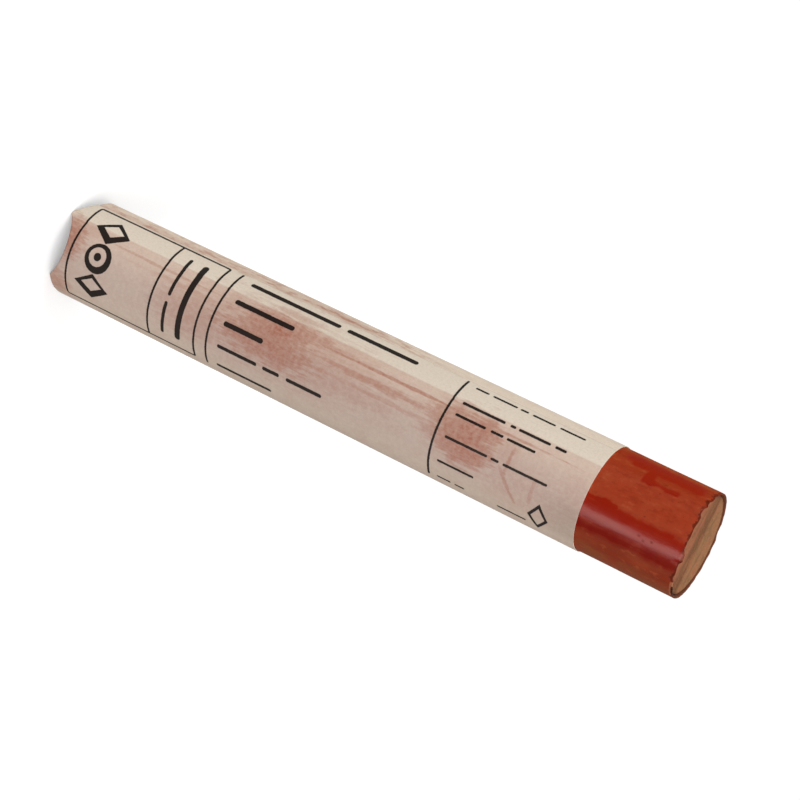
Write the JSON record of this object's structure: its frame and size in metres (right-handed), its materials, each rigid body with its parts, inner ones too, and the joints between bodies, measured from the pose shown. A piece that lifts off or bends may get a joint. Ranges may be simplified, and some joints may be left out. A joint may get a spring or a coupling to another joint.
{
  "type": "oil paint stick",
  "caption": "Round stick of oil paint in a printed paper wrapper with a lapped seam and a tail tucked in as four flaps, bare at the writing end.",
  "frame": {"origin": "middle of the foot, on the plane of the tucked tail's corners", "axes": "+Z along the stick towards the writing end, -Y the front, where the print's middle faces"},
  "size_m": [0.0196, 0.0196, 0.1337],
  "materials": {
    "oil_paint": "glossy in wet blotches, satin between them",
    "wrapper_paper": "matte uncoated paper, oil stained, with thin dark print",
    "dried_paint": "matte, faintly streaked"
  },
  "bodies": {
    "root": {"paint_stick": "oil_paint", "paper_wrapper": "wrapper_paper", "dried_skin": "dried_paint"}
  },
  "joints": []
}
